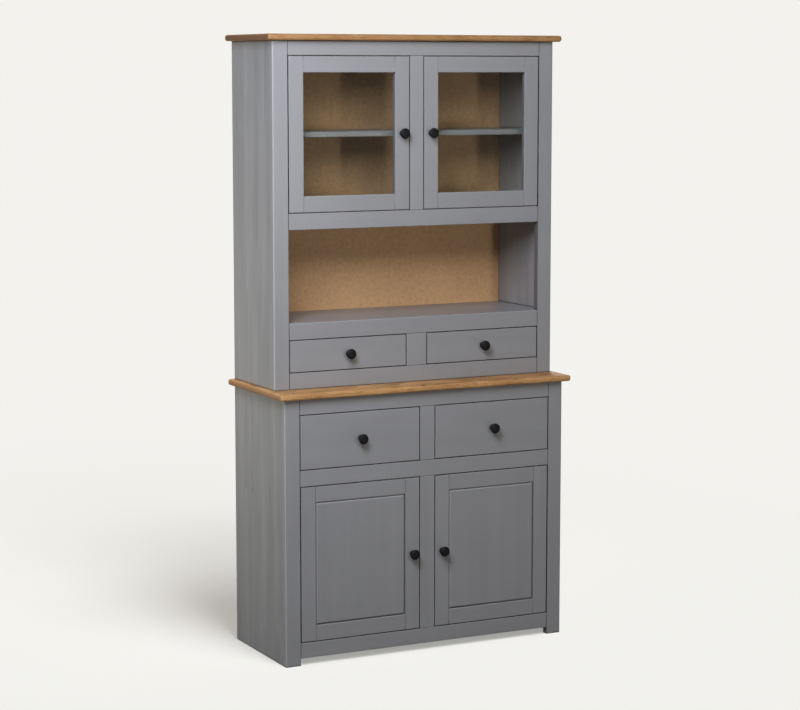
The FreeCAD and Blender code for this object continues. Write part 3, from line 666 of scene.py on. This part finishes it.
def dress(name, node):
    material = next(material for pattern, material in FINISHES if re.search(pattern, name))
    node.data.materials.clear()
    node.data.materials.append(material)


for node_name, node_object in NODES.items():
    dress(node_name, node_object)
print("dressed", len(NODES), "nodes in", len({node.data.materials[0].name for node in NODES.values()}), "finishes")

# %% [markdown]
# ## Turned knobs
# A knob is turned on a lathe: a foot, a waist, and a mushroom head with a soft rim and a low crown. A lathe shape
# is one outline swept round an axis, so the outline is a short list of corners, softened by cutting each corner
# twice, and a loop turns it into rings of faces. It stands exactly where the plain knob of the frame stands.

# %% Turned knobs
KNOB_SIDES = 48
KNOB_ROUNDS = 2
# corners as (radius, height) in millimetres
KNOB_OUTLINE = [(9.0, 0.0), (9.0, 1.2), (7.8, 2.4), (7.0, 5.0), (7.0, 9.0), (9.5, 13.0), (14.4, 15.6), (15.0, 17.4),
                (15.0, 20.2), (13.6, 23.2), (9.0, 24.8), (0.0, 25.0)]


def softened(points, rounds):
    """Cut a quarter off both ends of every stretch of an outline, round after round, until it is smooth."""
    for _ in range(rounds):
        cut = [points[0]]
        for (r0, h0), (r1, h1) in zip(points, points[1:]):
            cut += [(0.75 * r0 + 0.25 * r1, 0.75 * h0 + 0.25 * h1), (0.25 * r0 + 0.75 * r1, 0.25 * h0 + 0.75 * h1)]
        points = cut + [points[-1]]
    return points


def new_piece(name, mesh, material=None):
    piece = bpy.data.objects.new(name, mesh)
    bpy.context.scene.collection.objects.link(piece)
    if material:
        mesh.materials.clear()
        mesh.materials.append(material)
    return piece


def as_mesh(name, shape, smooth=True):
    """Close a bmesh into a mesh with its faces pointing outwards."""
    bmesh.ops.recalc_face_normals(shape, faces=shape.faces[:])
    for face in shape.faces:
        face.smooth = smooth
    mesh = bpy.data.meshes.new(name)
    shape.to_mesh(mesh)
    shape.free()
    return mesh


def lathe(outline, sides, centre):
    """Turn an outline of (radius, height) round an axis that points to the front."""
    shape = bmesh.new()
    rings = []
    for radius, height in outline:
        turns = range(sides) if radius > 0 else range(1)
        angles = [2 * math.pi * step / sides for step in turns]
        rings.append([shape.verts.new(centre + Vector((radius * math.cos(a), -height, radius * math.sin(a))) * MM)
                      for a in angles])
    for inner, outer in zip(rings, rings[1:]):
        for step in range(sides):
            corners = [inner[step % len(inner)], inner[(step + 1) % len(inner)],
                       outer[(step + 1) % len(outer)], outer[step % len(outer)]]
            shape.faces.new(list(dict.fromkeys(corners)))
    shape.faces.new(rings[0])
    return shape


def knob_seat(node):
    """Where the axis of a knob meets the face that carries it."""
    low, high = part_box(node)
    return Vector(((low.x + high.x) / 2, high.y, (low.z + high.z) / 2))


KNOB_NODES = sorted(name for name in NODES if name.endswith("_knob"))
knob_outline = softened(KNOB_OUTLINE, KNOB_ROUNDS)
for node_name in KNOB_NODES:
    title = node_name.replace("_knob", "_turned_knob")
    knob = new_piece(title, as_mesh(title, lathe(knob_outline, KNOB_SIDES, knob_seat(node_name))), LACQUER)
    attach(knob, node_name.removesuffix("_knob"))
    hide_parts(node_name)
print(len(KNOB_NODES), "knobs of", len(knob.data.polygons), "faces")

# %% [markdown]
# ## Screws and nails
# Small steel heads repeat all over a piece of furniture. Geometry Nodes set them out: one tree puts a head on
# every point it is given, turned to a common direction and spun by a seeded random angle, and another walks
# round the edge of a back panel and puts a nail at every step. Each result is turned into a plain mesh.

# %% Heads of a screw and a nail
SCREW_SIDES = 24
# rings of the screw head as shares of its radius and height
SCREW_RINGS = [(1.0, 0.0), (1.0, 0.35), (0.9, 0.75), (0.7, 1.0)]
SCREW_RECESS = 0.45
NAIL_SIDES = 12
NAIL_CROWN = 0.55


def ring_pairs(corners):
    """Each corner of a closed ring with the next one."""
    return list(zip(corners, corners[1:] + corners[:1]))


def wall(shape, lower, upper):
    """Faces between two rings of as many corners."""
    for (a, b), (d, c) in zip(ring_pairs(lower), ring_pairs(upper)):
        shape.faces.new((a, b, c, d))


def screw_head(name, radius, height, slot_length, slot_width):
    """A pan head with a cross recess. It stands on Z = 0."""
    shape = bmesh.new()
    angles = [2 * math.pi * step / SCREW_SIDES for step in range(SCREW_SIDES)]
    circles = [[shape.verts.new((share * radius * math.cos(a), share * radius * math.sin(a), rise * height))
                for a in angles] for share, rise in SCREW_RINGS]
    for lower, upper in zip(circles, circles[1:]):
        wall(shape, lower, upper)
    a, b = slot_width / 2, slot_length / 2
    cross = [(b, -a), (b, a), (a, a), (a, b), (-a, b), (-a, a),
             (-b, a), (-b, -a), (-a, -a), (-a, -b), (a, -b), (a, -a)]
    mouth = [shape.verts.new((x, y, height)) for x, y in cross]
    floor = [shape.verts.new((x, y, SCREW_RECESS * height)) for x, y in cross]
    wall(shape, mouth, floor)
    shape.faces.new(floor)
    rims = [shape.edges.get(pair) for pair in ring_pairs(circles[-1]) + ring_pairs(mouth)]
    bmesh.ops.triangle_fill(shape, edges=rims, use_beauty=True)
    shape.faces.new(circles[0][::-1])
    return new_piece(name, as_mesh(name, shape, smooth=False))


def nail_head(name, radius, height):
    """A low dome on Z = 0."""
    shape = bmesh.new()
    bmesh.ops.create_cone(shape, cap_ends=True, segments=NAIL_SIDES, radius1=radius, radius2=NAIL_CROWN * radius,
                          depth=height)
    bmesh.ops.translate(shape, verts=shape.verts[:], vec=(0, 0, height / 2))
    return new_piece(name, as_mesh(name, shape, smooth=False))


SCREW = screw_head("screw_head", radius=3.6 * MM, height=2.0 * MM, slot_length=4.2 * MM, slot_width=1.1 * MM)
NAIL = nail_head("nail_head", radius=2.2 * MM, height=0.7 * MM)

# %% Trees that set the heads out


def open_tree(name, inputs):
    """Start a Geometry Nodes tree with named inputs. It gives the tree, its inputs and their identifiers."""
    tree = bpy.data.node_groups.new(name, "GeometryNodeTree")
    keys = {}
    for label, kind in inputs.items():
        keys[label] = tree.interface.new_socket(label, in_out="INPUT", socket_type="NodeSocket" + kind).identifier
    tree.interface.new_socket("Geometry", in_out="OUTPUT", socket_type="NodeSocketGeometry")
    return tree, put(tree, "NodeGroupInput").outputs, keys


def close_tree(tree, geometry, material):
    """End a tree as the export needs it: real geometry with a material."""
    real = put(tree, "GeometryNodeRealizeInstances", {"Geometry": geometry}).outputs[0]
    done = put(tree, "GeometryNodeSetMaterial", {"Geometry": real, "Material": material}).outputs[0]
    put(tree, "NodeGroupOutput", {"Geometry": done})


def screws_tree():
    tree, given, keys = open_tree("Screws at points", {
        "Points": "Geometry", "Head": "Object", "Facing": "Vector", "Seed": "Int", "Material": "Material"})
    head = put(tree, "GeometryNodeObjectInfo", {"Object": given["Head"]}).outputs["Geometry"]
    turn = put(tree, "FunctionNodeAlignRotationToVector", {"Vector": given["Facing"]}, axis="Z").outputs[0]
    chance = put(tree, "FunctionNodeRandomValue", {"Seed": given["Seed"]}, data_type="FLOAT").outputs[1]
    angle = calc(tree, "MULTIPLY", chance, math.pi)
    spin = put(tree, "FunctionNodeAxisAngleToRotation", {"Axis": (0, 0, 1), "Angle": angle}).outputs[0]
    both = put(tree, "FunctionNodeRotateRotation", {"Rotation": turn, "Rotate By": spin}, rotation_space="LOCAL")
    heads = put(tree, "GeometryNodeInstanceOnPoints", {"Points": given["Points"], "Instance": head,
                                                       "Rotation": both.outputs[0]}).outputs[0]
    close_tree(tree, heads, given["Material"])
    return tree, keys


def nails_tree():
    tree, given, keys = open_tree("Nails round a panel", {
        "Geometry": "Geometry", "Width": "Float", "Height": "Float", "Pitch": "Float", "Centre": "Vector",
        "Head": "Object", "Material": "Material"})
    head = put(tree, "GeometryNodeObjectInfo", {"Object": given["Head"]}).outputs["Geometry"]
    edge = put(tree, "GeometryNodeCurvePrimitiveQuadrilateral", {"Width": given["Width"],
                                                                 "Height": given["Height"]}).outputs[0]
    steps = put(tree, "GeometryNodeResampleCurve", {"Curve": edge, "Length": given["Pitch"]}, mode="LENGTH")
    heads = put(tree, "GeometryNodeInstanceOnPoints", {"Points": steps.outputs[0], "Instance": head}).outputs[0]
    standing = put(tree, "GeometryNodeTransform", {"Geometry": heads, "Translation": given["Centre"],
                                                   "Rotation": (-QUARTER, 0, 0)}).outputs[0]
    close_tree(tree, standing, given["Material"])
    return tree, keys


def grown(name, points, tree_and_keys, values, body):
    """Run a tree on some points and keep the result as a plain mesh that rides on a body."""
    tree, keys = tree_and_keys
    seeds = bpy.data.meshes.new(name)
    seeds.from_pydata(points, [], [])
    piece = new_piece(name, seeds)
    modifier = piece.modifiers.new("set out", "NODES")
    modifier.node_group = tree
    for label, value in values.items():
        modifier[keys[label]] = value
    evaluated = piece.evaluated_get(bpy.context.evaluated_depsgraph_get())
    mesh = bpy.data.meshes.new_from_object(evaluated)
    piece.modifiers.clear()
    piece.data = mesh
    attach(piece, body)
    return piece


SCREWS = screws_tree()
NAILS = nails_tree()

# %% [markdown]
# ## Where the fixings are
# Each knob is held by a screw from behind. Each door carries a flat strike plate for its magnetic catch, let into
# the wood so that it stands a hair proud, with a screw of its own beside the catch. Each back is nailed into its
# rebate all round.

# %% Strike plates, screws and nails
CATCH_TALL = 14 * MM
PLATE_LENGTH = 30 * MM
PLATE_TALL = 16 * MM
PLATE_SINK = 0.8 * MM
PLATE_PROUD = 0.15 * MM
PLATE_CORNER = 3 * MM
PLATE_CORNER_STEPS = 4
PLATE_FROM_EDGE = 2 * MM
PLATE_SCREW_FROM_END = 6 * MM
NAIL_PITCH = 118 * MM
NAIL_INSET = 4.5 * MM
DOOR_SEED = 3
DRAWER_SEED = 5


def catch_height(carcass):
    """Middle height of the catches of one carcass. All catches are one node, so the lower end of its box belongs
    to the base and the upper end to the hutch."""
    base_low, hutch_high = (corner.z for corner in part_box("door_catches"))
    half = CATCH_TALL / 2
    return base_low + half if carcass == "base" else hutch_high - half


def strike_plate(name, low, high):
    """A flat plate between two corners, with rounded corners seen from the front."""
    shape = bmesh.new()
    bmesh.ops.create_cube(shape, size=1.0)
    size = high - low
    bmesh.ops.transform(shape, verts=shape.verts[:],
                        matrix=Matrix.Translation((low + high) / 2) @ Matrix.Diagonal((*size, 1)))
    through = [edge for edge in shape.edges if abs(edge.verts[0].co.y - edge.verts[1].co.y) > size.y / 2]
    bmesh.ops.bevel(shape, geom=through, offset=PLATE_CORNER, segments=PLATE_CORNER_STEPS, affect="EDGES")
    return new_piece(name, as_mesh(name, shape, smooth=False), ZINC)


def screws(name, points, seed, body):
    """Screw heads that face the back of the dresser."""
    grown(name, points, SCREWS, {"Head": SCREW, "Facing": (0, 1, 0), "Seed": seed, "Material": ZINC}, body)


for carcass in ("base", "hutch"):
    for hand, way in (("left", -1), ("right", 1)):
        body = f"{carcass}_door_{hand}"
        low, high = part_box(f"{body}_frame")
        meeting_edge = high.x if way < 0 else low.x
        near = meeting_edge + way * PLATE_FROM_EDGE
        far = near + way * PLATE_LENGTH
        height = catch_height(carcass)
        plate = strike_plate(f"{body}_strike_plate",
                             Vector((min(near, far), high.y - PLATE_SINK, height - PLATE_TALL / 2)),
                             Vector((max(near, far), high.y + PLATE_PROUD, height + PLATE_TALL / 2)))
        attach(plate, body)
        seat = knob_seat(f"{body}_knob")
        points = [(far - way * PLATE_SCREW_FROM_END, high.y + PLATE_PROUD, height), (seat.x, high.y, seat.z)]
        screws(f"{body}_screws", points, DOOR_SEED, body)
        body = f"{carcass}_drawer_{hand}"
        seat = knob_seat(f"{body}_knob")
        screws(f"{body}_screw", [(seat.x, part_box(f"{body}_front")[1].y, seat.z)], DRAWER_SEED, body)
    low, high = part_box(f"{carcass}_back")
    nails = grown(f"{carcass}_back_nails", [], NAILS, {
        "Width": high.x - low.x - 2 * NAIL_INSET, "Height": high.z - low.z - 2 * NAIL_INSET, "Pitch": NAIL_PITCH,
        "Centre": ((low.x + high.x) / 2, high.y, (low.z + high.z) / 2), "Head": NAIL, "Material": ZINC}, "carcass")
    print(carcass, "back:", len(nails.data.polygons) // len(NAIL.data.polygons), "nails")
for head in (SCREW, NAIL):
    bpy.data.objects.remove(head)

# %% [markdown]
# ## The studio
# The piece stands on a plain pale floor that runs into a plain pale background. That background is seen straight
# from the camera and through glass, and dimmed in reflections, while the rays that carry light see a faint dome.
# So the paleness of the background puts no light on the wood. The floor is a real diffuse surface where the
# shadow falls, and fades with distance into the colour of the background. From below it is clear.

# %% Floor and background
BACKDROP = (0.896, 0.888, 0.855, 1)
FLOOR_PALE = (0.86, 0.854, 0.822, 1)
FLOOR_DARK = (0.16, 0.16, 0.155, 1)
FLOOR_SIZE = 30.0
SHADOW_CENTRE = (-0.2, 1.2, 0.0)
SHADOW_NEAR = 1.6
SHADOW_FAR = 3.2
DOME_FRONT, DOME_BACK = -0.2, 0.6
AMBIENT_FRONT, AMBIENT_BACK = 0.02, 0.2
GLOSSY_SHARE = 0.12


def seen_directly(tree):
    """1 for the rays that show the background, 0 for the rays that carry light."""
    path = put(tree, "ShaderNodeLightPath").outputs
    shown = calc(tree, "MAXIMUM", path["Is Camera Ray"],
                 calc(tree, "MAXIMUM", path["Is Transmission Ray"], path["Is Glossy Ray"]))
    mirrored = calc(tree, "MINIMUM", path["Glossy Depth"], 1.0)
    return calc(tree, "MULTIPLY", shown, calc(tree, "MULTIPLY_ADD", mirrored, GLOSSY_SHARE - 1.0, 1.0))


def studio_floor():
    """A floor that is lit near the dresser, plain far away and clear from below."""
    shape = bmesh.new()
    bmesh.ops.create_grid(shape, x_segments=1, y_segments=1, size=FLOOR_SIZE / 2)
    floor = new_piece("studio_floor", as_mesh("studio_floor", shape))
    material = bpy.data.materials.new("studio floor")
    material.use_nodes = True
    tree = material.node_tree
    tree.nodes.clear()
    away = put(tree, "ShaderNodeVectorMath", {0: whole_position(tree), 1: SHADOW_CENTRE}, operation="DISTANCE")
    far = ramp(tree, away.outputs["Value"], SHADOW_NEAR, SHADOW_FAR)
    plain = put(tree, "ShaderNodeEmission", {"Color": BACKDROP})
    seen = seen_directly(tree)
    lit = put(tree, "ShaderNodeBsdfDiffuse", {"Color": blend(tree, seen, FLOOR_DARK, FLOOR_PALE)})
    shader = put(tree, "ShaderNodeMixShader", {0: calc(tree, "MULTIPLY", far, seen),
                                               1: lit.outputs[0], 2: plain.outputs[0]})
    below = put(tree, "ShaderNodeNewGeometry").outputs["Backfacing"]
    clear = put(tree, "ShaderNodeBsdfTransparent")
    shader = put(tree, "ShaderNodeMixShader", {0: below, 1: shader.outputs[0], 2: clear.outputs[0]})
    put(tree, "ShaderNodeOutputMaterial", {"Surface": shader.outputs[0]})
    floor.data.materials.append(material)
    floor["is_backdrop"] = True
    return floor


def studio_world():
    """The plain background, with a dome behind the dresser for the rays that carry light."""
    world = bpy.data.worlds.new("studio")
    bpy.context.scene.world = world
    world.use_nodes = True
    tree = world.node_tree
    tree.nodes.clear()
    shown = put(tree, "ShaderNodeBackground", {"Color": BACKDROP, "Strength": 1.0})
    towards = put(tree, "ShaderNodeTexCoord").outputs["Generated"]
    depth = put(tree, "ShaderNodeSeparateXYZ", {0: towards}).outputs["Y"]
    strength = ramp(tree, depth, DOME_FRONT, DOME_BACK, AMBIENT_FRONT, AMBIENT_BACK)
    dome = put(tree, "ShaderNodeBackground", {"Color": (1.0, 1.0, 1.0, 1), "Strength": strength})
    shader = put(tree, "ShaderNodeMixShader", {0: seen_directly(tree), 1: dome.outputs[0], 2: shown.outputs[0]})
    put(tree, "ShaderNodeOutputWorld", {"Surface": shader.outputs[0]})


FLOOR = studio_floor()
studio_world()

# %% [markdown]
# ## Lamps and camera
# A tall, slightly cool softbox on the left gives the light that fades down the front. A high and a low softbox in
# front reach into the niche and through the panes, and weaker lamps open up the left side and the back. The floor
# has lamps of its own through light linking: a high sun darkens the shadow close to the dresser, lower and softer
# ones let it run out behind, and a fill has no shadow. The camera stands to the left of the dresser, above its
# middle, and looks along it with a long lens.

# %% Lamps
WARM = (1.0, 0.955, 0.9)
GOLDEN = (1.0, 0.945, 0.8)
COOL = (0.86, 0.883, 1.0)
LAMPS = {
    "key_softbox": {"at": (-1.37, -1.58, 2.52), "size": (0.9, 1.5), "watts": 62.0, "colour": COOL},
    "high_softbox": {"at": (-0.4, -3.2, 2.7), "size": (0.6, 0.6), "watts": 14.4, "colour": GOLDEN},
    "low_softbox": {"at": (0.35, -3.3, 1.3), "size": (0.2, 0.2), "watts": 12.4, "colour": WARM},
    "side_softbox": {"at": (-1.6, 0.1, 0.9), "size": (0.6, 0.9), "watts": 6.0, "colour": GOLDEN},
    "back_softbox": {"at": (1.4, 2.8, 2.0), "size": (1.0, 1.4), "watts": 38.0, "colour": WARM},
}
AIM = Vector((0.0, 0.0, 1.2))
FLOOR_LAMPS = {
    "floor_high_sun": {"towards": (0.065, -0.369, 0.927), "strength": 1.05, "softness": math.radians(20.0)},
    "floor_middle_sun": {"towards": (-0.022, -0.642, 0.766), "strength": 0.71, "softness": math.radians(20.0)},
    "floor_low_sun": {"towards": (-0.03, -0.848, 0.53), "strength": 0.35, "softness": math.radians(30.0)},
    "floor_fill": {"towards": (0.0, 0.0, 1.0), "strength": 1.25, "shadow": False},
}


def hang(name, data, at, direction):
    """A lamp at a place, turned to a direction and not seen itself."""
    place = bpy.data.objects.new(name, data)
    place.location = at
    place.rotation_euler = direction.to_track_quat("-Z", "Y").to_euler()
    place.visible_camera = False
    bpy.context.scene.collection.objects.link(place)
    return place


def link_floor(light, state):
    """INCLUDE makes a lamp light the floor alone, EXCLUDE makes it leave the floor out."""
    receivers = bpy.data.collections.new(f"{light.name} and the floor")
    receivers.objects.link(FLOOR)
    receivers.collection_objects[0].light_linking.link_state = state
    light.light_linking.receiver_collection = receivers


def lamp(name, at, size, watts, colour):
    """A softbox that lights everything but the floor."""
    data = bpy.data.lights.new(name, "AREA")
    data.shape = "RECTANGLE"
    data.size, data.size_y = size
    data.energy = watts
    data.color = colour
    link_floor(hang(name, data, at, AIM - Vector(at)), "EXCLUDE")


def floor_lamp(name, towards, strength, softness=0.0, shadow=True):
    """A sun that lights the floor alone."""
    data = bpy.data.lights.new(name, "SUN")
    data.energy = strength
    data.angle = softness
    data.use_shadow = shadow
    link_floor(hang(name, data, towards, -Vector(towards)), "INCLUDE")


for lamp_name, setting in LAMPS.items():
    lamp(lamp_name, **setting)
for lamp_name, setting in FLOOR_LAMPS.items():
    floor_lamp(lamp_name, **setting)

# %% Camera
CAMERA_AT = (-2.9481, -5.8407, 1.6977)
CAMERA_PITCH = math.radians(-7.11)
CAMERA_YAW = math.radians(26.749)
CAMERA_LENS = 99.777
CAMERA_SENSOR = 36.0
CAMERA_SHIFT = -0.01

camera_data = bpy.data.cameras.new("camera")
camera_data.lens = CAMERA_LENS
camera_data.sensor_width = CAMERA_SENSOR
camera_data.shift_y = CAMERA_SHIFT
camera = bpy.data.objects.new("camera", camera_data)
camera.location = CAMERA_AT
camera.rotation_euler = (math.pi / 2 + CAMERA_PITCH, 0.0, -CAMERA_YAW)
bpy.context.scene.collection.objects.link(camera)
bpy.context.scene.camera = camera
bpy.context.scene.view_settings.view_transform = "Standard"

# %% [markdown]
# ## Measure the dressed model
# The dressed model must stay inside the box of the joinery, so its box is measured here.

# %% Measure the dressed model
low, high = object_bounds()
